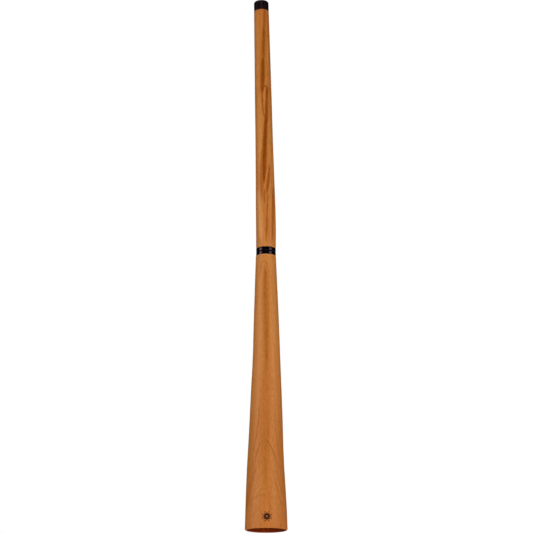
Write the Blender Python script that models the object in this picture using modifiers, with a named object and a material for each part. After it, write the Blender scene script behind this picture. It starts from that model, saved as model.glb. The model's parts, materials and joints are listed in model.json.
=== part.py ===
"""A two-section wooden didgeridoo, standing on its bell. Metres, +Z up.

The origin is the centre of the bell's rim, on the surface that it stands on. Each section is turned from two hollowed
half shells, glued along the XZ plane. A plug in the upper section pushes into a socket in the bell section, with two
O-rings between them, and a mouthpiece pushes onto a spigot at the top.
"""

import math

import bpy

# Driving dimensions
TOTAL_LENGTH = 1.500
JOINT_HEIGHT = 0.745  # the plane where the two sections part
COLLAR_HEIGHT = 0.0105
COLLAR_RADIUS = 0.0266
COLLAR_EDGE = 0.0012
WALL = 0.0075  # of the bell section's wood
BORE_AT_MOUTH = 0.0145
BORE_AT_JOINT = 0.0170
FIT_GAP = 0.0003  # between pieces that touch on the real object

# Each section's outer radius: a plain taper between the radii at its two ends, and the places where the hand-shaped
# wood is fuller or slimmer than that, each with a middle height, a reach above and below it, and an amount
BELL_ENDS = (0.0534, 0.0268)
BELL_SWELLS = (
    (0.06, 0.17, 0.0017),  # the flare's shoulder
    (0.45, 0.12, -0.0008),  # a slim waist
)
UPPER_ENDS = (0.0277, 0.0208)
UPPER_SWELLS = (
    (0.745, 0.07, -0.0010),  # drawn in to meet the collar
    (0.88, 0.08, 0.0004),
    (1.08, 0.13, -0.0004),
)
# The grown wood is a little crooked: the bell section's centre strays along X, and the upper section leans to -X
STRAYS = ((0.165, 0.145, -0.0015), (0.46, 0.15, 0.0008))
JOINT_X = -0.0006
SETTLE_FROM = 0.60  # the centre moves over to the joint's axis between these heights
SETTLE_TO = 0.68
LEAN = 0.0205  # across per length
LEAN_FROM = 0.83
LEAN_BEND = 0.03  # how far above and below that height the bend reaches

# Bell section
RIM_OUTER_ROUND = 0.0035
RIM_INNER_ROUND = 0.0020
END_CHAMFER = 0.0007
SOCKET_BORE = 0.0211
SOCKET_RADIUS = 0.0236
SOCKET_DEPTH = 0.052
SOCKET_FLOOR = 0.004

# Upper section
TENON_RADIUS = 0.0205
TENON_LENGTH = 0.050
TENON_NOSE = 0.0012
SHANK_RADIUS = 0.0215
SHANK_LENGTH = 0.040
SEAL_THICKNESS = 0.0021
SEAL_RADIUS = 0.01975  # to the middle of the ring's section
SEAL_DROPS = (0.013, 0.037)  # below the joint plane

# Mouthpiece
MOUTHPIECE_HEIGHT = 0.030
MOUTHPIECE_RADIUS = 0.0209
LIP_BORE = 0.0142
LIP_OUTER_ROUND = 0.0025
LIP_INNER_ROUND = 0.0020
SPIGOT_RADIUS = 0.0175
SPIGOT_LENGTH = 0.020

ROUND_STEPS = 48
ARC_STEPS = 3
SEAL_STEPS = 8

# Colours, roughness and metallic values
MATERIALS = {
    "cherry": ((0.50, 0.20, 0.06, 1.0), 0.42, 0.0),
    "black_collar": ((0.012, 0.010, 0.012, 1.0), 0.25, 0.0),
    "black_mouthpiece": ((0.014, 0.010, 0.011, 1.0), 0.45, 0.0),
    "seal_rubber": ((0.010, 0.010, 0.010, 1.0), 0.70, 0.0),
}


def swelling(swells, z):
    """What smooth swellings (middle, reach, amount) add at a height."""
    total = 0.0
    for middle, reach, amount in swells:
        away = min(1.0, abs(z - middle) / reach)
        total += amount * math.cos(math.pi / 2 * away) ** 2
    return total


def taper(low, high, ends, z):
    return ends[0] + (ends[1] - ends[0]) * (z - low) / (high - low)


def bell_radius(z):
    return taper(0.0, JOINT_HEIGHT, BELL_ENDS, z) + swelling(BELL_SWELLS, z)


def upper_radius(z):
    return taper(JOINT_HEIGHT, TOTAL_LENGTH, UPPER_ENDS, z) + swelling(UPPER_SWELLS, z)


def centre_x(z):
    """The centre line: it strays in the bell section, is straight through the joint, and leans above it."""
    share = min(1.0, max(0.0, (z - SETTLE_FROM) / (SETTLE_TO - SETTLE_FROM)))
    settled = JOINT_X * share * share * (3 - 2 * share)
    past = z - LEAN_FROM
    if past < LEAN_BEND:
        past = max(0.0, past + LEAN_BEND) ** 2 / (4 * LEAN_BEND)
    return settled + swelling(STRAYS, z) - LEAN * past


def spaced(low, high, count):
    return [low + (high - low) * i / (count - 1) for i in range(count)]


def arc(radius_at, height_at, size, start, end):
    """Points (radius, height) of an arc about a centre, with its angles in degrees."""
    angles = [math.radians(a) for a in spaced(start, end, ARC_STEPS + 1)]
    return [
        (radius_at + size * math.cos(a), height_at + size * math.sin(a)) for a in angles
    ]


def material(name):
    colour, roughness, metallic = MATERIALS[name]
    made = bpy.data.materials.new(name)
    made.use_nodes = True
    shader = made.node_tree.nodes["Principled BSDF"]
    shader.inputs["Base Color"].default_value = colour
    shader.inputs["Roughness"].default_value = roughness
    shader.inputs["Metallic"].default_value = metallic
    made.diffuse_color = colour
    return made


def collection(name, hidden=False):
    made = bpy.data.collections.new(name)
    made.hide_render = hidden
    bpy.context.scene.collection.children.link(made)
    return made


def turned(name, outline, into):
    """A closed outline of (radius, height), down its outer side first, turned about Z by a Screw modifier."""
    mesh = bpy.data.meshes.new(name)
    count = len(outline)
    edges = [(i, (i + 1) % count) for i in range(count)]
    mesh.from_pydata([(r, 0.0, z) for r, z in outline], edges, [])
    obj = bpy.data.objects.new(name, mesh)
    into.objects.link(obj)
    screw = obj.modifiers.new("turn", "SCREW")
    screw.axis = "Z"
    screw.angle = math.tau
    screw.steps = ROUND_STEPS
    screw.render_steps = ROUND_STEPS
    screw.use_merge_vertices = False
    return obj


def baked(obj):
    """Replaces an object's mesh with its evaluated one, and drops its modifiers."""
    graph = bpy.context.evaluated_depsgraph_get()
    mesh = bpy.data.meshes.new_from_object(obj.evaluated_get(graph))
    obj.modifiers.clear()
    outline = obj.data
    obj.data = mesh
    bpy.data.meshes.remove(outline)
    return obj


def bent(obj):
    """Moves a straight turned mesh onto the centreline, with each cross-section square to it."""
    step = 0.001
    for vertex in obj.data.vertices:
        x, y, z = vertex.co
        rise = centre_x(z + step) - centre_x(z - step)
        lean = math.atan2(rise, 2 * step)
        centre = centre_x(z)
        vertex.co = (centre + x * math.cos(lean), y, z - x * math.sin(lean))
    return obj


def half_space(name, side, into):
    """A box cutter that covers one side of the glue line: side is +1 for behind it, -1 for in front."""
    size = 2.0
    bpy.ops.mesh.primitive_cube_add(size=size)
    cutter = bpy.context.object
    cutter.name = name
    cutter.location = (0, side * (size / 2 - FIT_GAP / 2), TOTAL_LENGTH / 2)
    for held in list(cutter.users_collection):
        held.objects.unlink(cutter)
    into.objects.link(cutter)
    cutter.display_type = "WIRE"
    cutter.hide_render = True
    return cutter


def finish(obj, material_of, parent):
    """Gives a piece its material and smooth shading, and its parent."""
    obj.data.materials.append(material_of)
    obj.data.shade_smooth()
    obj.parent = parent
    if parent is not None:
        obj.matrix_parent_inverse = parent.matrix_world.inverted()
    return obj


def bell_outline():
    """The bell section's wood: outer side, rounded rim, bore, and the counterbore for the socket."""
    top = JOINT_HEIGHT - COLLAR_HEIGHT - FIT_GAP
    seat = JOINT_HEIGHT - SOCKET_DEPTH - SOCKET_FLOOR - FIT_GAP
    counterbore = SOCKET_RADIUS + FIT_GAP
    edge = bell_radius(top)
    rim = bell_radius(0.0)
    outer = [
        (bell_radius(z), z)
        for z in spaced(top - END_CHAMFER, RIM_OUTER_ROUND, 15)
    ]
    inner = [
        (bell_radius(z) - WALL, z)
        for z in spaced(RIM_INNER_ROUND, seat, 10)
    ]
    rim_bore = inner[0][0]
    return (
        [(edge - END_CHAMFER, top)]
        + outer[:-1]
        + arc(rim - RIM_OUTER_ROUND, RIM_OUTER_ROUND, RIM_OUTER_ROUND, 0, -90)
        + arc(rim_bore + RIM_INNER_ROUND, RIM_INNER_ROUND, RIM_INNER_ROUND, -90, -180)
        + inner[1:]
        + [(counterbore, seat), (counterbore, top)]
    )


def upper_outline():
    """The upper section's wood: spigot for the mouthpiece, outer side, counterbore for the plug, and bore."""
    bottom = JOINT_HEIGHT + COLLAR_HEIGHT + FIT_GAP
    seat = bottom + SHANK_LENGTH
    counterbore = SHANK_RADIUS + FIT_GAP
    shoulder = TOTAL_LENGTH - MOUTHPIECE_HEIGHT - FIT_GAP
    top = shoulder + SPIGOT_LENGTH
    edge = upper_radius(shoulder)
    foot = upper_radius(bottom)
    outer = [
        (upper_radius(z), z)
        for z in spaced(shoulder - END_CHAMFER, bottom + END_CHAMFER, 13)
    ]
    return (
        [(SPIGOT_RADIUS, top), (SPIGOT_RADIUS, shoulder), (edge - END_CHAMFER, shoulder)]
        + outer
        + [(foot - END_CHAMFER, bottom), (counterbore, bottom), (counterbore, seat)]
        + [(bore_radius(z), z) for z in spaced(seat, top, 8)]
    )


def bore_radius(z):
    """The upper section's bore narrows steadily from the joint to the mouth."""
    share = (z - JOINT_HEIGHT) / (TOTAL_LENGTH - JOINT_HEIGHT)
    return BORE_AT_JOINT + (BORE_AT_MOUTH - BORE_AT_JOINT) * share


def collar(low, high):
    """The rounded outer side of a collar, from its top down."""
    edge = COLLAR_EDGE
    inside = COLLAR_RADIUS - edge
    return arc(inside, high - edge, edge, 90, 0) + arc(inside, low + edge, edge, 0, -90)


def socket_outline():
    """The socket: a collar above the wood, and a tube in it with a floor that stops the tenon."""
    low = JOINT_HEIGHT - COLLAR_HEIGHT
    floor = JOINT_HEIGHT - SOCKET_DEPTH
    bottom = floor - SOCKET_FLOOR
    high = JOINT_HEIGHT - FIT_GAP / 2
    lead_in = 0.0008
    return (
        collar(low, high)
        + [(SOCKET_RADIUS, low), (SOCKET_RADIUS, bottom), (BORE_AT_JOINT, bottom)]
        + [(BORE_AT_JOINT, floor), (SOCKET_BORE, floor)]
        + [(SOCKET_BORE, high - lead_in), (SOCKET_BORE + lead_in, high)]
    )


def plug_outline():
    """The plug: a shank in the upper section's wood, a collar, and a tenon with a groove for each O-ring."""
    low = JOINT_HEIGHT + FIT_GAP / 2
    high = JOINT_HEIGHT + COLLAR_HEIGHT
    top = high + SHANK_LENGTH
    end = JOINT_HEIGHT - TENON_LENGTH
    floor = SEAL_RADIUS - SEAL_THICKNESS / 2 - FIT_GAP
    half = SEAL_THICKNESS / 2 + FIT_GAP
    grooves = []
    for drop in SEAL_DROPS:
        z = JOINT_HEIGHT - drop
        grooves += [(TENON_RADIUS, z + half), (floor, z + half)]
        grooves += [(floor, z - half), (TENON_RADIUS, z - half)]
    return (
        [(SHANK_RADIUS, top), (SHANK_RADIUS, high)]
        + collar(low, high)
        + [(TENON_RADIUS, low)]
        + grooves
        + [(TENON_RADIUS, end + TENON_NOSE), (TENON_RADIUS - TENON_NOSE, end)]
        + [(BORE_AT_JOINT, end), (BORE_AT_JOINT, top)]
    )


def mouthpiece_outline():
    """The mouthpiece: a rounded lip over a skirt that grips the spigot."""
    top = TOTAL_LENGTH
    bottom = top - MOUTHPIECE_HEIGHT
    roof = bottom + SPIGOT_LENGTH + FIT_GAP
    inside = SPIGOT_RADIUS + FIT_GAP
    edge = 0.0005
    return (
        arc(MOUTHPIECE_RADIUS - LIP_OUTER_ROUND, top - LIP_OUTER_ROUND, LIP_OUTER_ROUND, 90, 0)
        + [(MOUTHPIECE_RADIUS, bottom + edge), (MOUTHPIECE_RADIUS - edge, bottom)]
        + [(inside, bottom), (inside, roof), (LIP_BORE, roof)]
        + arc(LIP_BORE + LIP_INNER_ROUND, top - LIP_INNER_ROUND, LIP_INNER_ROUND, 180, 90)
    )


def half_shells(stem, outline, into, cutters, wood, parent):
    """The two glued half shells of one wooden section, split along the XZ plane."""
    for place, cutter in (("front", cutters["behind"]), ("back", cutters["ahead"])):
        shell = bent(baked(turned(f"{stem}_{place}", outline, into)))
        split = shell.modifiers.new("split", "BOOLEAN")
        split.operation = "DIFFERENCE"
        split.solver = "EXACT"
        split.object = cutter
        finish(shell, wood, parent)


def fitting(name, outline, into, material_of, parent):
    """A turned piece of the joint, on the joint's own axis."""
    obj = turned(name, outline, into)
    obj.location.x = JOINT_X
    return finish(obj, material_of, parent)


def seal(name, drop, into, rubber, parent):
    bpy.ops.mesh.primitive_torus_add(
        major_segments=ROUND_STEPS,
        minor_segments=SEAL_STEPS,
        major_radius=SEAL_RADIUS,
        minor_radius=SEAL_THICKNESS / 2,
        location=(JOINT_X, 0, JOINT_HEIGHT - drop),
    )
    obj = bpy.context.object
    obj.name = name
    for held in list(obj.users_collection):
        held.objects.unlink(obj)
    into.objects.link(obj)
    return finish(obj, rubber, parent)


def body_empty(name, location, into, parent=None):
    empty = bpy.data.objects.new(name, None)
    empty.location = location
    empty.empty_display_size = 0.05
    into.objects.link(empty)
    bpy.context.view_layer.update()
    if parent is not None:
        empty.parent = parent
        empty.matrix_parent_inverse = parent.matrix_world.inverted()
        bpy.context.view_layer.update()
    return empty


def main():
    for obj in list(bpy.data.objects):
        bpy.data.objects.remove(obj)
    model = collection("didgeridoo")
    helpers = collection("cutters", hidden=True)
    made = {name: material(name) for name in MATERIALS}
    cutters = {
        "behind": half_space("behind_glue_line", 1, helpers),
        "ahead": half_space("ahead_of_glue_line", -1, helpers),
    }

    joint = (JOINT_X, 0, JOINT_HEIGHT)
    spigot_foot = TOTAL_LENGTH - MOUTHPIECE_HEIGHT
    seat = (centre_x(spigot_foot), 0, spigot_foot)
    bell = body_empty("bell_section", (0, 0, 0), model)
    seals = body_empty("seals", joint, model, bell)
    upper = body_empty("upper_section", joint, model, seals)
    mouth = body_empty("mouthpiece_mount", seat, model, upper)

    half_shells("bell_shell", bell_outline(), model, cutters, made["cherry"], bell)
    half_shells("upper_shell", upper_outline(), model, cutters, made["cherry"], upper)
    fitting("joint_socket", socket_outline(), model, made["black_collar"], bell)
    fitting("joint_plug", plug_outline(), model, made["black_collar"], upper)
    for name, drop in zip(("o_ring_upper", "o_ring_lower"), SEAL_DROPS):
        seal(name, drop, model, made["seal_rubber"], seals)
    cap = bent(baked(turned("mouthpiece", mouthpiece_outline(), model)))
    finish(cap, made["black_mouthpiece"], mouth)


main()
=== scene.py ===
"""The looks of a two-section wooden didgeridoo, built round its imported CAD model.

Each visible piece is rebuilt as a fine mesh from cross-sections measured on the CAD nodes, and replaces
its node. The wood's figure is a solid pattern of growth rings, cut by the tube's surface as it is in a real
board, with the streaks and arches of each face laid over it.
"""

import json
import math

import bmesh
import bpy
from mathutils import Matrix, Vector
from mathutils.bvhtree import BVHTree


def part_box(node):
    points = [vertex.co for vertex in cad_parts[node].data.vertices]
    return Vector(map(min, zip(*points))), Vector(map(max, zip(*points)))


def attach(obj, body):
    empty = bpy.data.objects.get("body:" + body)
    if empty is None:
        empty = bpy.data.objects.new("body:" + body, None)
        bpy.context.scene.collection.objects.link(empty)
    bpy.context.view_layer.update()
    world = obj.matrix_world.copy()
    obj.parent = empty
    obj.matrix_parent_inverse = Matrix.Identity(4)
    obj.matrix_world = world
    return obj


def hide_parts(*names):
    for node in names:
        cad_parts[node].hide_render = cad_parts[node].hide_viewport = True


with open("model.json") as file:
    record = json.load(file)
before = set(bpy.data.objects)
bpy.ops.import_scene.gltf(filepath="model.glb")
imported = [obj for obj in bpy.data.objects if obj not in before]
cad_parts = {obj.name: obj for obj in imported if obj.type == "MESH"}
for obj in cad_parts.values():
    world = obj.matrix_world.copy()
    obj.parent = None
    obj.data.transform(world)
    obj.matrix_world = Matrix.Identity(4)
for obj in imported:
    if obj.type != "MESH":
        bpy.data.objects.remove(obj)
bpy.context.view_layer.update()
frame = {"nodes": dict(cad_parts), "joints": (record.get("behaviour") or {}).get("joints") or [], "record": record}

# The camera: its place, its upward tilt and its angle of view
EYE = (0.0008, -3.6325, -0.4396)
TILT = math.radians(17.507)
FIELD = math.radians(21.4175)
SENSOR = 36.0

# Resolution of the fine meshes
AROUND = 192
ARC_STEPS = 8
BELL_STEPS = 110
UPPER_STEPS = 100
BORE_STEPS = 60
CROWN_STEPS = 9
LIP_OUTER_STEPS = 14
LIP_INNER_STEPS = 12
SKIRT_STEPS = 10
SKIRT_EDGE_STEPS = 5
GROOVE_STEPS = 3
SEAL_STEPS = 28
LEAF_STEPS = 8
FLOOR_STEPS = 96
SMOOTH_ANGLE = math.radians(40)

# Where the CAD nodes are measured: how many slices of a tube, and how far they stay from its edges
SLICES = 36
RIM_CLEAR = 0.004
SEAT_CLEAR = 0.001
SHOULDER_CLEAR = 0.002
WELL_INSIDE = 0.010

# Sizes that the cross-sections don't give, in metres
GLUE_GAP = 0.000006
GLUE_LINE = 0.0003
LEVEL_FOOT = 0.030
RIM_OUTER_ROUND = 0.0035
RIM_INNER_ROUND = 0.0020
EASED_EDGE = 0.0009
SPIGOT_EDGE = 0.0006
BORE_EDGE = 0.0004
FIT_GAP = 0.0003
COLLAR_HEIGHT = 0.0105
COLLAR_EDGE = 0.0014
COLLAR_CROWN = 0.00025
MOUTH_ROUND = 0.0008
TENON_LENGTH = 0.050
TENON_NOSE = 0.0014
SHANK_LENGTH = 0.040
SOCKET_DEPTH = 0.052
SOCKET_FLOOR = 0.004
SEAL_THICKNESS = 0.0021
SEAL_RADIUS = 0.01975
SEAL_FLASH = 0.00003
GROOVE_EDGE = 0.0003
SEAL_DROPS = {"o_ring_upper": 0.013, "o_ring_lower": 0.037}
MOUTHPIECE_HEIGHT = 0.030
SPIGOT_LENGTH = 0.020
LIP_OUTER_ROUND = 0.0032
LIP_INNER_ROUND = 0.0026
SKIRT_EDGE = 0.0008

# The mark burned into the bell's front, and how far it stands proud of the wood and reaches into it
MARK_HEIGHT = 0.0288
MARK_X = 0.0019
MARK_PROUD = 0.00004
MARK_DEPTH = 0.0004

# Rings of leaves round the mark's centre: how many, their root and tip from the centre, half width and turn
MARK_LEAVES = ((8, 0.0016, 0.0108, 0.0024, 0.0), (8, 0.0096, 0.0142, 0.0014, 0.5))


# ---------------------------------------------------------------- measuring the frame


def mount(name):
    return next(m for m in frame["record"]["mounts"] if m["name"] == name)


def joint(name):
    return next(j for j in frame["joints"] if j["name"] == name)


TOTAL_LENGTH = mount("mouth_rim")["pos_m"][2]
JOINT_X, _, JOINT_HEIGHT = joint("section_turn")["pos_m"]


def caster(node):
    """A tree of a CAD node's faces, for casting rays at them."""
    mesh = frame["nodes"][node].data
    points = [v.co.copy() for v in mesh.vertices]
    return BVHTree.FromPolygons(points, [tuple(p.vertices) for p in mesh.polygons])


def slice_of(tree, height):
    """Centre, outer radius and bore radius of a front half shell, or of a whole turned piece, at a height."""
    far = 1.0
    beside = -0.0005
    under_skin = 0.00001
    right = tree.ray_cast(Vector((far, beside, height)), Vector((-1, 0, 0)))[0].x
    left = tree.ray_cast(Vector((-far, beside, height)), Vector((1, 0, 0)))[0].x
    centre = (left + right) / 2
    outer = tree.ray_cast(Vector((centre, -far, height)), Vector((0, 1, 0)))[0]
    inside = Vector((centre, outer.y + under_skin, height))
    inner = tree.ray_cast(inside, Vector((0, 1, 0)))[0]
    return centre, -outer.y, -inner.y


def spaced(low, high, count):
    """Evenly spaced values from low to high, both included."""
    return [low + (high - low) * i / (count - 1) for i in range(count)]


class Tube:
    """The centre, outer radius and bore radius of a wooden section as smooth functions of height."""

    def __init__(self, node, low, high, count):
        tree = caster(node)
        self.heights = spaced(low, high, count)
        slices = [slice_of(tree, z) for z in self.heights]
        self.centres, self.outers, self.bores = zip(*slices)

    def _smooth(self, values, at):
        """Catmull-Rom through evenly spaced values, held straight past both ends."""
        count = len(values)
        share = (at - self.heights[0]) / (self.heights[1] - self.heights[0])
        i = max(0, min(count - 2, math.floor(share)))
        t = share - i
        b, c = values[i], values[i + 1]
        a = values[i - 1] if i > 0 else 2 * b - c
        d = values[i + 2] if i < count - 2 else 2 * c - b
        if t < 0:
            return b + (c - b) * t
        if t > 1:
            return c + (c - b) * (t - 1)
        return b + t * (c - a + t * (2 * a - 5 * b + 4 * c - d + t * (3 * (b - c) + d - a))) / 2

    def centre(self, z):
        return self._smooth(self.centres, z)

    def outer(self, z):
        return self._smooth(self.outers, z)

    def bore(self, z):
        return self._smooth(self.bores, z)


# ---------------------------------------------------------------- fine meshes


def arc(radius_at, height_at, size, start, end, steps=ARC_STEPS):
    """Points (radius, height) of an arc about a centre, with its angles in degrees."""
    angles = [math.radians(a) for a in spaced(start, end, steps + 1)]
    return [(radius_at + size * math.cos(a), height_at + size * math.sin(a)) for a in angles]


def place(point, angle, centre):
    """A point (radius, height) turned to an angle. It is set square to the tube's centre line, but level at
    the foot, where the tube stands."""
    radius, height = point
    step = 0.002
    lean = math.atan2(centre(height + step) - centre(height - step), 2 * step)
    lean *= min(1.0, height / LEVEL_FOOT)
    x = radius * math.cos(angle)
    y = radius * math.sin(angle)
    return Vector((centre(height) + x * math.cos(lean), y, height - x * math.sin(lean)))


def new_object(name, mesh):
    obj = bpy.data.objects.new(name, mesh)
    bpy.context.scene.collection.objects.link(obj)
    return obj


def shaded(mesh):
    """Smooth shading that keeps the sharp edges."""
    mesh.shade_smooth()
    mesh.set_sharp_from_angle(angle=SMOOTH_ANGLE)
    return mesh


def turned(name, outline, centre, half=0, slots=None):
    """A solid turned from a closed outline of (radius, height). half is -1 for the front half shell, 1 for
    the back one and 0 for a whole piece. slots gives a material index for each outline point."""
    mesh = bpy.data.meshes.new(name)
    bm = bmesh.new()
    first = math.pi if half < 0 else 0.0
    count_around = AROUND // 2 + 1 if half else AROUND
    angles = [first + math.tau * i / AROUND for i in range(count_around)]
    rings = [[bm.verts.new(place(point, angle, centre)) for point in outline] for angle in angles]
    if half:
        for vert in rings[0] + rings[-1]:
            vert.co.y = half * GLUE_GAP / 2
    following = rings[1:] if half else rings[1:] + rings[:1]
    for here, there in zip(rings, following):
        for k in range(len(outline)):
            after = (k + 1) % len(outline)
            face = bm.faces.new((here[k], here[after], there[after], there[k]))
            if slots:
                face.material_index = slots[k]
    if half:
        bm.faces.new(rings[0])
        bm.faces.new(list(reversed(rings[-1])))
    bmesh.ops.recalc_face_normals(bm, faces=bm.faces)
    bm.to_mesh(mesh)
    bm.free()
    return new_object(name, shaded(mesh))


def straight(x):
    """The centre line of a piece that isn't bent."""
    return lambda height: x


def stands_for(obj, body, slot, *nodes):
    """The piece rides on a body and replaces its CAD nodes. slot is not used."""
    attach(obj, body)
    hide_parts(*nodes)


# ---------------------------------------------------------------- materials


# How a material's nodes are laid out in the editor
NODE_SPACING = 200
NODES_IN_ROW = 12


class Graph:
    """A short way to write a material's nodes."""

    def __init__(self, name):
        self.material = bpy.data.materials.new(name)
        self.material.use_nodes = True
        self.tree = self.material.node_tree
        self.shader = self.tree.nodes["Principled BSDF"]
        self.count = 0

    def node(self, kind, inputs=(), **settings):
        made = self.tree.nodes.new(kind)
        self.count += 1
        column, row = self.count % NODES_IN_ROW + 1, self.count // NODES_IN_ROW
        made.location = (-NODE_SPACING * column, -NODE_SPACING * row)
        for key, value in settings.items():
            setattr(made, key, value)
        for key, value in dict(inputs).items():
            self.give(made.inputs[key], value)
        return made

    def give(self, socket, value):
        if isinstance(value, bpy.types.NodeSocket):
            self.tree.links.new(value, socket)
        else:
            socket.default_value = value

    def place(self):
        """Where a point of the surface lies in the object's own frame."""
        return self.node("ShaderNodeTexCoord").outputs["Object"]

    def parts(self, vector):
        """The x, y and z of a vector."""
        return self.node("ShaderNodeSeparateXYZ", {"Vector": vector}).outputs

    def math(self, operation, a, b=0.0, c=0.0):
        return self.node("ShaderNodeMath", {0: a, 1: b, 2: c}, operation=operation).outputs[0]

    def add(self, a, b):
        return self.math("ADD", a, b)

    def subtract(self, a, b):
        return self.math("SUBTRACT", a, b)

    def times(self, a, b):
        return self.math("MULTIPLY", a, b)

    def times_add(self, a, b, c):
        return self.math("MULTIPLY_ADD", a, b, c)

    def smooth(self, value, low, high, low_to=0.0, high_to=1.0):
        """Rises smoothly from low_to to high_to as the value goes from low to high."""
        inputs = {"Value": value, "From Min": low, "From Max": high, "To Min": low_to, "To Max": high_to}
        made = self.node("ShaderNodeMapRange", inputs, interpolation_type="SMOOTHSTEP")
        return made.outputs["Result"]

    def vector(self, x, y, z):
        return self.node("ShaderNodeCombineXYZ", {"X": x, "Y": y, "Z": z}).outputs[0]

    def noise(self, vector, detail, scale=1.0):
        """Noise from about 0 to 1, with 0.5 in the middle."""
        inputs = {"Vector": vector, "Scale": scale, "Detail": detail}
        return self.node("ShaderNodeTexNoise", inputs).outputs["Fac"]

    def drawn_out(self, x, y, z, across, along, detail):
        """Noise that is drawn out along z: how often it changes across and along it, per metre."""
        at = self.vector(self.times(x, across), self.times(y, across), self.times(z, along))
        return self.noise(at, detail)

    def on_face(self, x, z, across, along, layer, detail):
        """Noise over a flat face, drawn out along z. Each layer has its own pattern."""
        at = self.vector(self.times(x, across), self.times(z, along), layer)
        return self.noise(at, detail)

    def moved(self, value, noise, amount):
        """A value that a noise moves up and down, by up to about half an amount."""
        return self.times_add(self.subtract(noise, 0.5), amount, value)

    def curve(self, value, points):
        """A smooth function of a value, through points (value, result)."""
        xs, ys = zip(*points)
        low, high = min(xs), max(xs)
        bottom, top = min(ys), max(ys)
        span = (top - bottom) or 1.0
        share = self.node("ShaderNodeMapRange", {"Value": value, "From Min": low, "From Max": high})
        made = self.node("ShaderNodeFloatCurve", {"Value": share.outputs["Result"]})
        line = made.mapping.curves[0]
        placed = sorted(((x - low) / (high - low), (y - bottom) / span) for x, y in points)
        while len(line.points) < len(placed):
            line.points.new(0.5, 0.5)
        for point, (x, y) in zip(line.points, placed):
            point.location = (x, y)
        made.mapping.update()
        return self.times_add(made.outputs[0], span, bottom)

    def ramp(self, value, stops):
        """A colour ramp through stops (position, colour)."""
        made = self.node("ShaderNodeValToRGB", {"Fac": value})
        elements = made.color_ramp.elements
        while len(elements) < len(stops):
            elements.new(0.5)
        for element, (position, colour) in zip(elements, stops):
            element.position = position
            element.color = (*colour, 1.0)
        return made.outputs["Color"]

    def blend(self, share, a, b, kind="MIX"):
        made = self.node("ShaderNodeMix", data_type="RGBA", blend_type=kind)
        for socket, value in zip((made.inputs[0], made.inputs[6], made.inputs[7]), (share, a, b)):
            self.give(socket, value)
        return made.outputs[2]

    def bump(self, height, distance, strength=0.5):
        inputs = {"Height": height, "Distance": distance, "Strength": strength}
        return self.node("ShaderNodeBump", inputs).outputs["Normal"]

    def set(self, **sockets):
        """Sets sockets of the shader, with _ for a space in their names."""
        for name, value in sockets.items():
            self.give(self.shader.inputs[name.replace("_", " ")], value)
        return self.material


# Cherry from its darkest mineral streaks to its palest wood, by tone
CHERRY = (
    (0.00, (0.165, 0.026, 0.0002)),
    (0.25, (0.290, 0.068, 0.0012)),
    (0.40, (0.385, 0.109, 0.0105)),
    (0.50, (0.445, 0.136, 0.0205)),
    (0.60, (0.496, 0.160, 0.0280)),
    (0.75, (0.564, 0.200, 0.0420)),
    (1.00, (0.665, 0.286, 0.0800)),
)

# Cherry across one growth ring, counted outwards from the pith, as a share of the palest wood
RING_TONES = (
    (0.00, 0.00),
    (0.04, 0.50),
    (0.12, 0.55),
    (0.28, 0.80),
    (0.55, 0.97),
    (0.88, 1.00),
    (0.96, 0.85),
    (1.00, 0.00),
)
RING_MIDDLE = 0.85

# What varies in the wood: how often it changes across and along the grain, per metre, and its detail
GRAIN = {
    "cloud": (25, 4, 2),
    "stripe": (150, 3, 2),
    "mottle": (330, 110, 1),
    "fleck": (620, 75, 1),
    "fibre": (900, 22, 2),
    "pores": (2600, 130, 0),
    "warmth": (40, 6, 1),
}

# What moves the growth rings about, in the same way, and how far it moves them, in ring widths
RING_MOVES = (((16, 2, 1), 0.45), ((70, 12, 1), 0.12))

# What varies only over the face, in the same way, with a layer for each before its detail
WANDER = (60, 14, 9.0, 2)
RAGGED = (260, 40, 5.0, 1)
RING_FADE = (30, 3, 4.0, 1)

# How far the first two of them move the figure's lines across the face and along it, in metres
WANDER_ACROSS = 0.003
WANDER_ALONG = 0.006
RAGGED_ACROSS = 0.0022

# How far each of these moves the tone up and down
TONE_MOVES = {"year": 0.08, "cloud": 0.14, "stripe": 0.16, "mottle": 0.28, "fibre": 0.10}

# How far each of these lifts the tone, or below zero lowers it
FLECK_TONE = -0.16
PORE_TONE = -0.10
GLUE_TONE = -0.25
WORN_TONE = 0.13


def wood_place(graph, lean, side, shift):
    """Coordinates in the tree: u across the tube from its centre line, v out of the board, and z along it.
    The last one is z shifted, so that each board has its own pattern."""
    x, y, z = graph.parts(graph.place())
    u = graph.subtract(x, graph.curve(z, lean))
    v = graph.times(y, side)
    return u, v, z, graph.add(z, shift)


def growth_rings(graph, u, v, z, grown, pith_depth, pith_drift, spacing):
    """Counts growth rings outwards from the pith, which lies behind the face at a depth that changes with
    height."""
    across = graph.subtract(u, graph.curve(z, pith_drift))
    deep = graph.subtract(graph.curve(z, pith_depth), v)
    squares = graph.times_add(across, across, graph.times(deep, deep))
    count = graph.times(graph.math("SQRT", squares), 1 / spacing)
    for noise, amount in RING_MOVES:
        count = graph.moved(count, graph.drawn_out(u, v, grown, *noise), amount)
    return count


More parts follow.
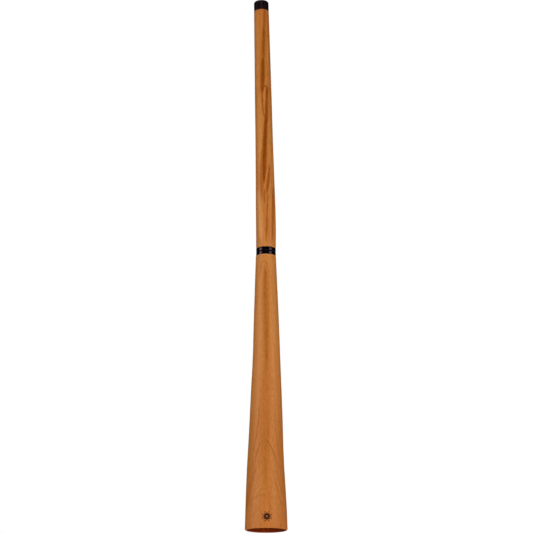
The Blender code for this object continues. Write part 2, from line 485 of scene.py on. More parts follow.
def streak(graph, u, z, top, bottom, across_top, across_bottom, bow, half_width, depth):
    """A streak along the grain between two heights. It is widest and strongest in the middle and runs out at
    both ends. A depth below zero makes the wood paler."""
    soft_edge = (1.25, 0.15)
    narrowest = 0.0001
    span = graph.node("ShaderNodeMapRange", {"Value": z, "From Min": top, "From Max": bottom})
    share = span.outputs["Result"]
    belly = graph.times(graph.times(share, 4.0), graph.subtract(1.0, share))
    line = graph.times_add(share, across_bottom - across_top, across_top)
    middle = graph.times_add(belly, bow, line)
    half = graph.math("MAXIMUM", graph.times(graph.math("SQRT", belly), half_width), narrowest)
    away = graph.math("DIVIDE", graph.math("ABSOLUTE", graph.subtract(u, middle)), half)
    return graph.times(graph.smooth(away, *soft_edge), graph.smooth(belly, 0.0, 0.5, 0.0, depth))


def arch(graph, u, z, apex, left, right, reach, thick, depth):
    """A growth line that arches over its apex (height, place across). left and right say how steeply it
    falls, as the height lost over the square of the distance across. It has faded out at its reach below the
    apex."""
    crown = 0.002
    height, across = apex
    x = graph.subtract(u, across)
    steep = graph.smooth(x, -crown, crown, left, right)
    bend = graph.times(steep, graph.math("ABSOLUTE", x))
    fall = graph.subtract(graph.subtract(height, z), graph.times(bend, graph.math("ABSOLUTE", x)))
    slope = graph.math("SQRT", graph.times_add(graph.times(bend, 4.0), bend, 1.0))
    away = graph.math("DIVIDE", fall, slope)
    outside = graph.smooth(away, -thick, -0.2 * thick)
    inside = graph.smooth(away, 3.0 * thick, 0.0)
    fading = graph.smooth(z, height - reach, height - 0.25 * reach, 0.0, depth)
    return graph.times(graph.times(outside, inside), fading)


def drawn_figure(graph, u, z, grown, streaks, arches):
    """How much the streaks and arches of a board darken its face. Where two cross, the darker one wins."""
    wander = graph.on_face(u, grown, *WANDER)
    ragged = graph.on_face(u, grown, *RAGGED)
    wavy = graph.moved(graph.moved(u, wander, WANDER_ACROSS), ragged, RAGGED_ACROSS)
    rising = graph.moved(z, wander, WANDER_ALONG)
    dark, pale = 0.0, 0.0
    for settings in streaks:
        mask = streak(graph, wavy, z, *settings)
        if settings[-1] > 0:
            dark = graph.math("MAXIMUM", dark, mask)
        else:
            pale = graph.math("MINIMUM", pale, mask)
    for settings in arches:
        dark = graph.math("MAXIMUM", dark, arch(graph, wavy, rising, *settings))
    return graph.add(dark, pale)


def ring_lines(graph, u, z, grown, rings, line):
    """The tone within each ring, and how strongly it shows: by height, and fading in and out over the
    face."""
    tone = graph.ramp(graph.math("FRACT", rings), [(share, (pale,) * 3) for share, pale in RING_TONES])
    fade = graph.on_face(u, grown, *RING_FADE)
    strength = graph.times(graph.smooth(fade, 0.25, 0.70, 0.25, 1.0), graph.curve(z, line))
    return tone, strength


def grain_noises(graph, u, v, grown, rings, shift):
    """Everything that varies in the wood, by name, with a tone of its own for each year."""
    noises = {kind: graph.drawn_out(u, v, grown, *counts) for kind, counts in GRAIN.items()}
    year = graph.vector(graph.math("FLOOR", rings), graph.times(grown, 1.5), shift)
    noises["year"] = graph.noise(year, 0, 1.7)
    return noises


def end_wear(graph, z, ends, stripe):
    """How far the wood is rubbed pale at a section's two ends."""
    low, high = ends
    to_end = graph.math("MINIMUM", graph.subtract(z, low), graph.subtract(high, z))
    return graph.smooth(graph.moved(to_end, stripe, 0.003), 0.0034, 0.0006)


def cherry_colour(graph, shade, warmth):
    """The colour of a tone, which wanders a little between redder and yellower wood."""
    colour = graph.ramp(shade, CHERRY)
    redder = graph.blend(1.0, colour, (1.01, 0.98, 0.98, 1.0), "MULTIPLY")
    yellower = graph.blend(1.0, colour, (0.99, 1.02, 0.98, 1.0), "MULTIPLY")
    return graph.blend(graph.smooth(warmth, 0.35, 0.65), redder, yellower)


def cherry(name, tube, side, ends, shift, face_depth, pith_drift, spacing, line, tone, streaks=(), arches=(),
           vivid=1.0):
    """Oiled cherry with growth rings, mineral streaks, fibres and pores. shift says where in the tree the
    board was, face_depth how far behind the face the pith lies at a few heights, pith_drift how far it lies
    to the right, line how strongly rings show, tone how pale the wood is, and vivid how strong its streaks
    are."""
    graph = Graph(name)
    lean = [(z, tube.centre(z)) for z in tube.heights[::3] + tube.heights[-1:]]
    pith = [(z, tube.outer(z) - depth) for z, depth in face_depth]
    u, v, z, grown = wood_place(graph, lean, side, shift)
    rings = growth_rings(graph, u, v, z, grown, pith, pith_drift, spacing)
    ring_tone, strength = ring_lines(graph, u, z, grown, rings, line)
    noises = grain_noises(graph, u, v, grown, rings, shift)
    fibre = noises["fibre"]
    pore = graph.smooth(noises["pores"], 0.66, 0.80)
    glue = graph.smooth(graph.math("ABSOLUTE", v), GLUE_LINE, 0.3 * GLUE_LINE)
    worn = end_wear(graph, z, ends, noises["stripe"])

    shade = graph.times_add(graph.subtract(ring_tone, RING_MIDDLE), strength, graph.curve(z, tone))
    for kind, amount in TONE_MOVES.items():
        shade = graph.moved(shade, noises[kind], amount)
    shade = graph.times_add(graph.smooth(noises["fleck"], 0.56, 0.74), FLECK_TONE, shade)
    shade = graph.times_add(pore, PORE_TONE, shade)
    if streaks or arches:
        shade = graph.times_add(drawn_figure(graph, u, z, grown, streaks, arches), -vivid, shade)
    shade = graph.times_add(glue, GLUE_TONE, shade)
    shade = graph.times_add(worn, WORN_TONE, shade)

    height = graph.times_add(pore, -0.6, graph.add(fibre, graph.times(ring_tone, 0.5)))
    rough = graph.times_add(worn, -0.06, graph.smooth(fibre, 0.2, 0.8, 0.34, 0.46))
    return graph.set(
        Base_Color=cherry_colour(graph, shade, noises["warmth"]),
        Roughness=rough,
        Normal=graph.bump(height, 0.00012),
        Specular_IOR_Level=0.25,
    )


def stained_bore():
    """The bore's dark red stain, with the wood's fibres still showing."""
    graph = Graph("stained_bore")
    x, y, z = graph.parts(graph.place())
    fibre = graph.drawn_out(x, y, z, 420, 14, 3)
    patch = graph.drawn_out(x, y, z, 40, 9, 2)
    tone = graph.moved(fibre, patch, 0.8)
    colour = graph.ramp(
        tone,
        (
            (0.20, (0.240, 0.024, 0.003)),
            (0.50, (0.400, 0.052, 0.007)),
            (0.80, (0.520, 0.085, 0.016)),
        ),
    )
    return graph.set(
        Base_Color=colour,
        Roughness=graph.smooth(patch, 0.3, 0.7, 0.42, 0.60),
        Normal=graph.bump(fibre, 0.0003, 0.6),
        Specular_IOR_Level=0.30,
    )


# The two finishes of the black plastic: polished at the joint and satin at the mouthpiece
POLISHED = dict(
    colour=(0.0008, 0.0001, 0.0006),
    smoothest=0.14,
    roughest=0.20,
    groove_count=900,
    groove_depth=0.00001,
)
SATIN = dict(
    colour=(0.0034, 0.0006, 0.0009),
    smoothest=0.34,
    roughest=0.44,
    groove_count=700,
    groove_depth=0.00002,
)


def turned_black(name, colour, smoothest, roughest, groove_count, groove_depth):
    """Black plastic turned on a lathe and polished: faint rings from the tool, and soft smudges in the
    polish."""
    graph = Graph(name)
    at = graph.place()
    x, y, z = graph.parts(at)
    lathe = graph.drawn_out(x, y, z, 3, groove_count, 1)
    smudge = graph.drawn_out(x, y, z, 90, 60, 3)
    speck = graph.smooth(graph.noise(at, 0, 2200), 0.6, 0.8)
    bright = graph.smooth(smudge, 0.2, 0.8, 0.85, 1.25)
    return graph.set(
        Base_Color=graph.blend(1.0, (*colour, 1.0), graph.vector(bright, bright, bright), "MULTIPLY"),
        Roughness=graph.times_add(speck, 0.05, graph.smooth(smudge, 0.3, 0.7, smoothest, roughest)),
        Normal=graph.bump(lathe, groove_depth),
        Specular_IOR_Level=0.80,
        Specular_Tint=(1.0, 0.66, 0.88, 1.0),
    )


def seal_rubber():
    """Greased nitrile rubber: nearly black, with a fine moulded grain."""
    graph = Graph("seal_rubber")
    at = graph.place()
    grain = graph.noise(at, 2, 3200)
    film = graph.noise(at, 2, 140)
    colour = graph.ramp(film, ((0.3, (0.010, 0.010, 0.011)), (0.7, (0.022, 0.021, 0.020))))
    rough = graph.smooth(film, 0.3, 0.7, 0.42, 0.68)
    return graph.set(Base_Color=colour, Roughness=rough, Normal=graph.bump(grain, 0.00004))


def burned_wood():
    """Scorched wood: dark red-brown, charred unevenly."""
    graph = Graph("burned_wood")
    char = graph.noise(graph.place(), 3, 900)
    colour = graph.ramp(char, ((0.3, (0.012, 0.002, 0.001)), (0.7, (0.045, 0.007, 0.004))))
    rough = graph.smooth(char, 0.3, 0.7, 0.75, 0.95)
    return graph.set(Base_Color=colour, Roughness=rough, Normal=graph.bump(char, 0.0001))


# ---------------------------------------------------------------- pieces


WOOD, STAIN = 0, 1


def wooden_section(stem, outline, slots, tube, body, front, back, stain):
    """The two half shells of one wooden section, each with its own board of cherry."""
    for side, half, wood in (("front", -1, front), ("back", 1, back)):
        shell = turned(f"{stem}_{side}_wood", outline, tube.centre, half, slots)
        shell.data.materials.append(wood)
        shell.data.materials.append(stain)
        stands_for(shell, body, "wood", f"{stem}_{side}")


def bell_outline(bell, top, seat, counterbore):
    """The bell section in outline, down its outer side first, with the material of each point."""
    rim = bell.outer(RIM_OUTER_ROUND)
    outer = [(bell.outer(z), z) for z in spaced(top - EASED_EDGE, RIM_OUTER_ROUND, BELL_STEPS)]
    inner = [(bell.bore(z), z) for z in spaced(RIM_INNER_ROUND, seat, BORE_STEPS)]
    edge = bell.outer(top - EASED_EDGE) - EASED_EDGE
    hole = inner[0][0]
    wood = (
        arc(edge, top - EASED_EDGE, EASED_EDGE, 90, 0)
        + outer[1:-1]
        + arc(rim - RIM_OUTER_ROUND, RIM_OUTER_ROUND, RIM_OUTER_ROUND, 0, -90)
    )
    lip = arc(hole + RIM_INNER_ROUND, RIM_INNER_ROUND, RIM_INNER_ROUND, -90, -180)
    stained = inner[1:]
    raw = [(counterbore, seat), (counterbore, top)]
    outline = wood + lip + stained + raw
    slots = [WOOD] * len(wood) + [STAIN] * (len(lip) - 1 + len(stained)) + [WOOD] * 3
    return outline, slots


def upper_outline(upper, bottom, seat, counterbore, spigot):
    """The upper section in outline, down its outer side first, with the material of each point."""
    shoulder = TOTAL_LENGTH - MOUTHPIECE_HEIGHT - FIT_GAP
    top = shoulder + SPIGOT_LENGTH
    outer_heights = spaced(shoulder - EASED_EDGE, bottom + EASED_EDGE, UPPER_STEPS)
    outer = [(upper.outer(z), z) for z in outer_heights]
    inner = [(upper.bore(z), z) for z in spaced(seat, top, BORE_STEPS)]
    head = outer[0][0] - EASED_EDGE
    foot = outer[-1][0] - EASED_EDGE
    wood = (
        [(spigot - SPIGOT_EDGE, top), (spigot, top - SPIGOT_EDGE), (spigot, shoulder)]
        + arc(head, shoulder - EASED_EDGE, EASED_EDGE, 90, 0)
        + outer[1:-1]
        + arc(foot, bottom + EASED_EDGE, EASED_EDGE, 0, -90)
        + [(counterbore, bottom), (counterbore, seat)]
    )
    slots = [WOOD] * len(wood) + [STAIN] * (len(inner) - 1) + [WOOD]
    return wood + inner, slots


def collar(low, high, radius):
    """A collar's outer side from its top down: rounded edges and a slight crown between them."""
    edge = COLLAR_EDGE
    middle, half = (low + high) / 2, (high - low) / 2 - edge
    shares = spaced(-1, 1, CROWN_STEPS)
    crown = [(radius - COLLAR_CROWN * share * share, middle - share * half) for share in shares]
    inside = radius - COLLAR_CROWN - edge
    return arc(inside, high - edge, edge, 90, 0) + crown[1:-1] + arc(inside, low + edge, edge, 0, -90)


def socket_piece(radius, tube_radius, mouth, bore, black):
    """The lower half of the joint: a collar over a tube with a floor, glued into the bell section."""
    low, high = JOINT_HEIGHT - COLLAR_HEIGHT, JOINT_HEIGHT - FIT_GAP / 3
    floor = JOINT_HEIGHT - SOCKET_DEPTH
    bottom = floor - SOCKET_FLOOR
    lead = MOUTH_ROUND
    outline = (
        collar(low, high, radius)
        + [(tube_radius, low), (tube_radius, bottom), (bore, bottom), (bore, floor), (mouth, floor)]
        + arc(mouth + lead, high - lead, lead, 180, 90)
    )
    piece = turned("joint_socket_black", outline, straight(JOINT_X))
    piece.data.materials.append(black)
    stands_for(piece, "bell_section", "joint", "joint_socket")


def groove(radius, floor, middle, half):
    """A groove with rounded edges for an O-ring."""
    edge = GROOVE_EDGE
    return (
        arc(radius - edge, middle + half + edge, edge, 0, -90, GROOVE_STEPS)
        + [(floor, middle + half), (floor, middle - half)]
        + arc(radius - edge, middle - half - edge, edge, 90, 0, GROOVE_STEPS)
    )


def plug_piece(radius, shank, tenon, bore, black):
    """The upper half of the joint: a shank glued into the upper section, a collar, and a tenon with two
    grooves."""
    low, high = JOINT_HEIGHT + FIT_GAP / 3, JOINT_HEIGHT + COLLAR_HEIGHT
    end = JOINT_HEIGHT - TENON_LENGTH
    top = high + SHANK_LENGTH
    floor = SEAL_RADIUS - SEAL_THICKNESS / 2 - FIT_GAP
    outline = [(shank, top), (shank, high)] + collar(low, high, radius) + [(tenon, low)]
    for drop in SEAL_DROPS.values():
        outline += groove(tenon, floor, JOINT_HEIGHT - drop, SEAL_THICKNESS / 2 + FIT_GAP)
    outline += arc(tenon - TENON_NOSE, end + TENON_NOSE, TENON_NOSE, 0, -90)
    outline += [(bore + BORE_EDGE, end), (bore, end + BORE_EDGE), (bore, top)]
    piece = turned("joint_plug_black", outline, straight(JOINT_X))
    piece.data.materials.append(black)
    stands_for(piece, "upper_section", "joint", "joint_plug")


def seal_piece(name, drop, rubber):
    """An O-ring with the faint parting line that its mould leaves round the outside."""
    middle = JOINT_HEIGHT - drop
    outline = []
    for i in range(SEAL_STEPS):
        angle = math.pi / 2 - math.tau * i / SEAL_STEPS
        outermost = i == SEAL_STEPS // 4
        size = SEAL_THICKNESS / 2 + (SEAL_FLASH if outermost else 0)
        outline.append((SEAL_RADIUS + size * math.cos(angle), middle + size * math.sin(angle)))
    piece = turned(f"{name}_rubber", outline, straight(JOINT_X))
    piece.data.materials.append(rubber)
    stands_for(piece, "seals", "seal", name)


def mouthpiece_piece(upper, radius, lip_bore, spigot, black):
    """The cap that the player's lips rest on: a softly rounded lip above a plain skirt."""
    top = TOTAL_LENGTH
    bottom = top - MOUTHPIECE_HEIGHT
    roof = bottom + SPIGOT_LENGTH + FIT_GAP
    inside = spigot + FIT_GAP
    edge = SKIRT_EDGE
    skirt = [(radius, z) for z in spaced(top - LIP_OUTER_ROUND, bottom + edge, SKIRT_STEPS)]
    outline = (
        arc(radius - LIP_OUTER_ROUND, top - LIP_OUTER_ROUND, LIP_OUTER_ROUND, 90, 0, LIP_OUTER_STEPS)
        + skirt[1:-1]
        + arc(radius - edge, bottom + edge, edge, 0, -90, SKIRT_EDGE_STEPS)
        + [(inside + BORE_EDGE, bottom), (inside, bottom + BORE_EDGE), (inside, roof), (lip_bore, roof)]
        + arc(lip_bore + LIP_INNER_ROUND, top - LIP_INNER_ROUND, LIP_INNER_ROUND, 180, 90, LIP_INNER_STEPS)
    )
    piece = turned("mouthpiece_black", outline, upper.centre)
    piece.data.materials.append(black)
    stands_for(piece, "mouthpiece", "mouthpiece", "mouthpiece")


def leaf_rows(root, tip, half_width, turn):
    """Rows of three flat points (across, up) over a leaf: its left edge, its midrib and its right edge. At
    its root and its tip there is only the midrib."""
    cos, sin = math.cos(turn), math.sin(turn)
    rows = []
    for share in spaced(0, 1, LEAF_STEPS + 1):
        half = half_width * math.sin(math.pi * share)
        along = root + (tip - root) * share
        sides = (0.0,) if share in (0, 1) else (-half, 0.0, half)
        rows.append([(x * cos + along * sin, along * cos - x * sin) for x in sides])
    return rows


def leaf_solid(bm, outside, inside):
    """Joins two layers of a leaf's rows of points into one closed solid."""

    def face(*corners):
        """A face between its corners. At a leaf's ends two of them are the same, and one is left out."""
        bm.faces.new(list(dict.fromkeys(corners)))

    for layer in (outside, inside):
        for here, there in zip(layer, layer[1:]):
            face(here[0], here[len(here) // 2], there[len(there) // 2], there[0])
            face(here[len(here) // 2], here[-1], there[-1], there[len(there) // 2])
    for side in (0, -1):
        for k in range(LEAF_STEPS):
            face(outside[k][side], outside[k + 1][side], inside[k + 1][side], inside[k][side])


def burned_mark(bell, burned):
    """A plain rosette burned into the bell's front, as thin solids that follow the wood's surface."""
    mesh = bpy.data.meshes.new("burned_mark")
    bm = bmesh.new()

    def on_bell(across, up, out):
        height = MARK_HEIGHT + up
        radius = bell.outer(height) + out
        angle = -math.pi / 2 + (across + MARK_X) / radius
        return bm.verts.new(place((radius, height), angle, bell.centre))

    def layer(rows, out):
        return [[on_bell(across, up, out) for across, up in row] for row in rows]

    for count, root, tip, half_width, offset in MARK_LEAVES:
        for i in range(count):
            rows = leaf_rows(root, tip, half_width, math.tau * (i + offset) / count)
            leaf_solid(bm, layer(rows, MARK_PROUD), layer(rows, -MARK_DEPTH))
    bmesh.ops.recalc_face_normals(bm, faces=bm.faces)
    bm.to_mesh(mesh)
    bm.free()
    mark = new_object("burned_mark", mesh)
    mark.data.materials.append(burned)
    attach(mark, "bell_section")


# ---------------------------------------------------------------- the figure of each board

# The growth rings of each board: by height, how far behind the face the pith lies, how far to the right it
# lies, how strongly the rings show and how pale the wood is, and besides the width of one ring and the
# board's place along the tree
BELL_FRONT = dict(
    shift=0.0,
    face_depth=(
        (0.00, 0.1150), (0.08, 0.1045), (0.15, 0.0950), (0.23, 0.0900), (0.35, 0.0862), (0.60, 0.0856),
        (0.736, 0.0845),
    ),
    pith_drift=((0.0, 0.006), (0.2, -0.003), (0.45, 0.0), (0.66, 0.0), (0.717, -0.006), (0.736, -0.008)),
    spacing=0.0065,
    line=((0.0, 0.10), (0.15, 0.09), (0.30, 0.06), (0.50, 0.05), (0.736, 0.06)),
    tone=((0.0, 0.67), (0.18, 0.67), (0.35, 0.75), (0.55, 0.79), (0.736, 0.79)),
)
BELL_BACK = dict(
    shift=3.7,
    face_depth=(
        (0.00, 0.1010), (0.10, 0.0945), (0.20, 0.0902), (0.34, 0.0868), (0.48, 0.0845), (0.62, 0.0827),
        (0.736, 0.0822),
    ),
    pith_drift=((0.0, -0.006), (0.3, 0.003), (0.736, -0.004)),
    spacing=0.0050,
    line=((0.0, 0.24), (0.30, 0.20), (0.50, 0.14), (0.736, 0.18)),
    tone=((0.0, 0.66), (0.40, 0.68), (0.736, 0.72)),
)
UPPER_FRONT = dict(
    shift=7.3,
    vivid=1.4,
    face_depth=((0.75, 0.0740), (0.95, 0.0746), (1.15, 0.0741), (1.30, 0.0747), (1.50, 0.0741)),
    pith_drift=((0.75, -0.048), (1.10, -0.055), (1.50, -0.050)),
    spacing=0.0052,
    line=((0.75, 0.12), (1.10, 0.10), (1.50, 0.12)),
    tone=((0.75, 0.76), (0.95, 0.74), (1.15, 0.67), (1.35, 0.61), (1.50, 0.60)),
)
UPPER_BACK = dict(
    shift=11.9,
    face_depth=((0.75, 0.0800), (0.90, 0.0792), (1.10, 0.0801), (1.30, 0.0793), (1.50, 0.0785)),
    pith_drift=((0.75, 0.012), (1.10, 0.004), (1.50, 0.010)),
    spacing=0.0048,
    line=((0.75, 0.22), (1.10, 0.16), (1.50, 0.20)),
    tone=((0.75, 0.70), (1.15, 0.63), (1.50, 0.56)),
)

# Arches on the bell's face: apex, fall to the left and right, reach, thickness and depth of tone
BELL_ARCHES = (
    ((0.715, -0.005), 260, 170, 0.050, 0.0011, 0.26),
    ((0.225, -0.002), 75, 65, 0.085, 0.0013, 0.27),
    ((0.220, -0.001), 200, 250, 0.030, 0.0011, 0.18),
    ((0.150, -0.002), 85, 100, 0.050, 0.0010, 0.05),
    ((0.100, -0.004), 35, 110, 0.035, 0.0014, 0.09),
    ((0.085, -0.006), 13, 100, 0.060, 0.0022, 0.11),
    ((0.045, -0.016), 45, 300, 0.025, 0.0012, 0.12),
)

# Where the grain turns under the fork in the upper section's main streak, a bridge joins its two branches
UPPER_ARCHES = (((1.230, 0.005), 60, 60, 0.016, 0.0016, 0.30),)

# Streaks: height of the top and of the bottom, place across at each, bow to the right, half width, depth of
# tone
BELL_STREAKS = (
    # The next two streaks are partly the board's darker heart and partly painted shade: the darker dip between the
    # sheen of the two side lamps, painted down the centre of the front
    (0.72, 0.40, -0.002, 0.000, 0.000, 0.011, 0.30),  # the board's darker heart
    (0.58, 0.08, -0.002, 0.000, 0.000, 0.016, 0.15),
    (0.71, 0.60, 0.004, 0.009, 0.001, 0.0012, 0.26),  # the heart's right edge
    (0.33, 0.18, -0.018, -0.038, 0.006, 0.0015, 0.20),  # two lines that spread down the flare
    (0.33, 0.17, 0.025, 0.039, -0.008, 0.0012, 0.17),
    (0.20, 0.05, 0.002, 0.042, 0.000, 0.0028, 0.10),
    (0.16, 0.08, 0.025, 0.042, 0.000, 0.0016, 0.12),
    (0.16, 0.04, -0.024, -0.050, -0.004, 0.006, 0.13),
    (0.17, 0.15, -0.015, -0.016, 0.000, 0.002, 0.12),
    (0.13, 0.06, -0.004, -0.040, 0.000, 0.003, -0.09),
)
UPPER_STREAKS = (
    (1.50, 1.35, 0.010, 0.004, 0.000, 0.005, 0.16),  # the main streak, down to its fork
    (1.42, 1.29, 0.006, 0.001, 0.000, 0.008, 0.22),
    (1.33, 1.20, 0.002, -0.003, 0.000, 0.008, 0.30),
    (1.23, 1.12, -0.003, 0.004, -0.003, 0.0025, 0.26),  # its left branch
    (1.24, 1.06, 0.011, 0.003, 0.001, 0.006, 0.36),  # its right branch, which widens
    (1.15, 0.92, 0.007, -0.004, -0.001, 0.009, 0.41),
    (1.05, 0.88, -0.006, -0.009, -0.002, 0.006, 0.25),
    (1.00, 0.90, 0.013, 0.003, 0.001, 0.005, 0.36),
    (0.93, 0.87, -0.003, -0.004, 0.000, 0.003, 0.32),
    (0.92, 0.76, 0.009, 0.000, -0.001, 0.0035, 0.30),
    (0.94, 0.76, 0.023, 0.016, 0.000, 0.005, 0.25),
    (1.12, 0.75, 0.003, 0.006, -0.003, 0.013, 0.14),
    (1.23, 1.14, 0.004, 0.003, 0.000, 0.004, -0.06),  # pale wood inside the fork
    # Painted light: the next two pale streaks lift the left side of the upper section, where the shading falls off
    # towards the edge
    (1.23, 0.96, -0.014, -0.015, 0.001, 0.009, -0.10),
    (1.50, 1.19, -0.014, -0.016, 0.000, 0.008, -0.11),
    (1.38, 1.27, 0.015, 0.015, 0.000, 0.0025, -0.13),
    (1.00, 0.91, 0.016, -0.004, -0.003, 0.0016, -0.16),
    (0.93, 0.76, -0.021, -0.012, 0.000, 0.007, -0.14),
)

# The upper section's back, where only the ends of a few streaks come through
UPPER_BACK_STREAKS = (
    (1.44, 1.16, 0.003, -0.004, 0.000, 0.0045, 0.24),
    (1.13, 0.89, -0.011, -0.006, 0.001, 0.0045, 0.20),
    (1.00, 0.78, 0.010, 0.006, -0.001, 0.0035, 0.22),
)


# ---------------------------------------------------------------- the object


def measured(node, height):
    """Outer and bore radius of a CAD node's round part at a height."""
    return slice_of(caster(node), height)[1:]


def build_bell(stain):
    """The bell section's two half shells."""
    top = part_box("bell_shell_front")[1][2]
    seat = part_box("joint_socket")[0][2] - FIT_GAP
    _, counterbore = measured("bell_shell_front", seat + WELL_INSIDE)
    bell = Tube("bell_shell_front", RIM_CLEAR, seat - SEAT_CLEAR, SLICES)
    outline, slots = bell_outline(bell, top, seat, counterbore)
    ends = (0.0, top)
    figure = dict(streaks=BELL_STREAKS, arches=BELL_ARCHES)
    front = cherry("bell_cherry_front", bell, -1, ends, **BELL_FRONT, **figure)
    back = cherry("bell_cherry_back", bell, 1, ends, **BELL_BACK)
    wooden_section("bell_shell", outline, slots, bell, "bell_section", front, back, stain)
    return bell


def build_upper(spigot, stain):
    """The upper section's two half shells."""
    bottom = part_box("upper_shell_front")[0][2]
    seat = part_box("joint_plug")[1][2] + FIT_GAP
    shoulder = TOTAL_LENGTH - MOUTHPIECE_HEIGHT
    _, counterbore = measured("upper_shell_front", bottom + WELL_INSIDE)
    upper = Tube("upper_shell_front", seat + SEAT_CLEAR, shoulder - SHOULDER_CLEAR, SLICES)
    outline, slots = upper_outline(upper, bottom, seat, counterbore, spigot)
    ends = (bottom, shoulder)
    figure = dict(streaks=UPPER_STREAKS, arches=UPPER_ARCHES)
    front = cherry("upper_cherry_front", upper, -1, ends, **UPPER_FRONT, **figure)
    back = cherry("upper_cherry_back", upper, 1, ends, streaks=UPPER_BACK_STREAKS, **UPPER_BACK)
    wooden_section("upper_shell", outline, slots, upper, "upper_section", front, back, stain)
    return upper


def build_joint(black):
    """The joint's socket and plug, which have collars of one size."""
    between_seals = JOINT_HEIGHT - sum(SEAL_DROPS.values()) / len(SEAL_DROPS)
    in_floor = JOINT_HEIGHT - SOCKET_DEPTH - SOCKET_FLOOR / 2
    in_shank = JOINT_HEIGHT + COLLAR_HEIGHT + SHANK_LENGTH / 2
    collar_radius, _ = measured("joint_socket", JOINT_HEIGHT - COLLAR_HEIGHT / 2)
    tube_radius, mouth = measured("joint_socket", between_seals)
    _, floor_bore = measured("joint_socket", in_floor)
    tenon, plug_bore = measured("joint_plug", between_seals)
    shank, _ = measured("joint_plug", in_shank)
    socket_piece(collar_radius, tube_radius, mouth, floor_bore, black)
    plug_piece(collar_radius, shank, tenon, plug_bore, black)


def build_object():
    spigot, _ = measured("upper_shell_front", TOTAL_LENGTH - MOUTHPIECE_HEIGHT + SPIGOT_LENGTH / 2)
    cap_radius, lip_bore = measured("mouthpiece", TOTAL_LENGTH - (MOUTHPIECE_HEIGHT - SPIGOT_LENGTH) / 2)
    stain = stained_bore()
    bell = build_bell(stain)
    upper = build_upper(spigot, stain)
    build_joint(turned_black("polished_black", **POLISHED))
    satin = turned_black("satin_black", **SATIN)
    mouthpiece_piece(upper, cap_radius, lip_bore, spigot, satin)
    rubber = seal_rubber()
    for name, drop in SEAL_DROPS.items():
        seal_piece(name, drop, rubber)
    burned_mark(bell, burned_wood())


# ---------------------------------------------------------------- the studio

FLOOR_RADIUS = 40.0
FLOOR_DROP = 0.0002

# The floor's own glow: how far from the object it starts to grow, where it is full, and how strong it is
# before
GLOW_FROM = 0.3
GLOW_FULL = 5.0
GLOW_LEAST = 0.35

# The light from all round: its strength on the object's colours and in its gloss
ROUND_LIGHT = 0.10
ROUND_SHEEN = 0.015

# The height that the lamps face
MIDDLE = 0.75

# Lamps: azimuth round the object from the camera's side, distance, height, width and height of the lamp, and
# power
SOFTBOXES = (
    ("softbox_left", -46, 5.5, 1.2, 4.6, 3.8, 165),
    ("softbox_right", 49, 5.5, 0.5, 4.6, 3.8, 182),
    ("softbox_back", 180, 5.5, 2.0, 4.6, 3.8, 165),
    ("softbox_below", 0, 2.4, -1.4, 1.6, 1.2, 26),
)

# Lamps that show only as sheen on glossy surfaces
SHEEN_LAMPS = (
    ("strip_left", -66, 2.3, 0.75, 1.0, 2.2, 13),
    ("strip_right", 54, 2.3, 0.75, 1.1, 2.2, 10),
    ("sheen_above", 0, 2.4, 2.8, 0.6, 0.6, 1.6),
)


def make_floor():
    """A pale floor that the bell stands on. It is clear from below, because the camera looks up from under
    it, and lets the lamp below it shine through."""
    mesh = bpy.data.meshes.new("floor")
    bm = bmesh.new()
    angles = [math.tau * i / FLOOR_STEPS for i in range(FLOOR_STEPS)]
    rim = [(FLOOR_RADIUS * math.cos(a), FLOOR_RADIUS * math.sin(a), -FLOOR_DROP) for a in angles]
    bm.faces.new([bm.verts.new(point) for point in rim])
    bm.to_mesh(mesh)
    bm.free()
    floor = new_object("floor", mesh)

    graph = Graph("pale_floor")
    away = graph.node("ShaderNodeVectorMath", {0: graph.place()}, operation="LENGTH").outputs["Value"]
    paper = graph.node("ShaderNodeBsdfDiffuse", {"Color": (0.80, 0.79, 0.77, 1.0)}).outputs[0]
    glow = graph.node("ShaderNodeEmission", {"Color": (1.0, 1.0, 1.0, 1.0), "Strength": 1.0}).outputs[0]
    clear = graph.node("ShaderNodeBsdfTransparent").outputs[0]
    path = graph.node("ShaderNodeLightPath").outputs
    seen, shadow = path["Is Camera Ray"], path["Is Shadow Ray"]
    below = graph.math("MAXIMUM", graph.node("ShaderNodeNewGeometry").outputs["Backfacing"], shadow)
    far = graph.times(graph.smooth(away, GLOW_FROM, GLOW_FULL, GLOW_LEAST, 1.0), seen)
    top = graph.node("ShaderNodeMixShader", {0: far, 1: paper, 2: glow}).outputs[0]
    both = graph.node("ShaderNodeMixShader", {0: below, 1: top, 2: clear}).outputs[0]
    graph.tree.links.new(both, graph.tree.nodes["Material Output"].inputs["Surface"])
    mesh.materials.append(graph.material)


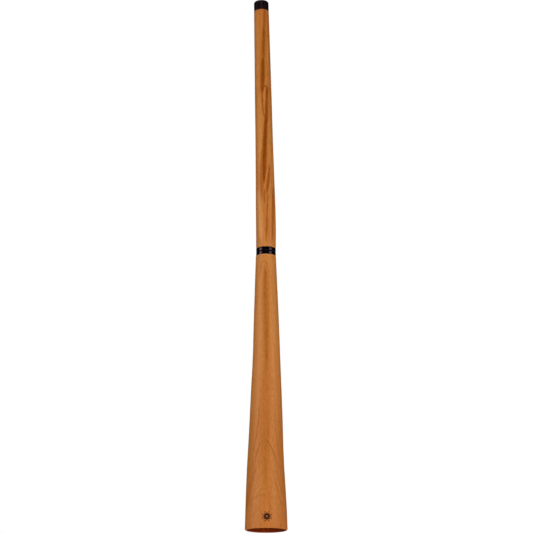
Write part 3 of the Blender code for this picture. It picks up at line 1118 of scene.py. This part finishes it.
def make_world(light, sheen):
    """White behind the object, and weaker light from all round: one strength on its colours, one in its
    gloss."""
    world = bpy.data.worlds.new("studio")
    bpy.context.scene.world = world
    world.use_nodes = True
    nodes, links = world.node_tree.nodes, world.node_tree.links
    path = nodes.new("ShaderNodeLightPath").outputs
    shown = nodes["Background"].outputs[0]
    nodes["Background"].inputs["Color"].default_value = (light, light, light, 1.0)
    for ray, strength in (("Is Glossy Ray", sheen), ("Is Camera Ray", 1.0)):
        background = nodes.new("ShaderNodeBackground")
        background.inputs["Color"].default_value = (strength, strength, strength, 1.0)
        mix = nodes.new("ShaderNodeMixShader")
        links.new(path[ray], mix.inputs[0])
        links.new(shown, mix.inputs[1])
        links.new(background.outputs[0], mix.inputs[2])
        shown = mix.outputs[0]
    links.new(shown, nodes["World Output"].inputs["Surface"])


def soft_lamp(name, azimuth, away, height, wide, tall, power, sheen):
    """A large soft light that faces the object's middle. With sheen it shows only in gloss, and without it
    only in the object's colours."""
    lamp = bpy.data.lights.new(name, "AREA")
    lamp.shape = "RECTANGLE"
    lamp.size, lamp.size_y = wide, tall
    lamp.energy = power
    obj = new_object(name, lamp)
    angle = math.radians(azimuth)
    obj.location = (away * math.sin(angle), -away * math.cos(angle), height)
    aim = Vector((0.0, 0.0, MIDDLE)) - obj.location
    obj.rotation_euler = aim.to_track_quat("-Z", "Y").to_euler()
    obj.visible_camera = False
    obj.visible_glossy = sheen
    obj.visible_diffuse = not sheen


def make_lights():
    for settings in SOFTBOXES:
        soft_lamp(*settings, sheen=False)
    for settings in SHEEN_LAMPS:
        soft_lamp(*settings, sheen=True)


def make_camera():
    lens = bpy.data.cameras.new("camera")
    lens.sensor_width = SENSOR
    lens.lens = SENSOR / 2 / math.tan(FIELD / 2)
    camera = new_object("camera", lens)
    camera.location = EYE
    camera.rotation_euler = (math.pi / 2 + TILT, 0.0, 0.0)
    bpy.context.scene.camera = camera


build_object()
make_floor()
make_world(ROUND_LIGHT, ROUND_SHEEN)
make_lights()
make_camera()
bpy.context.scene.view_settings.view_transform = "Standard"
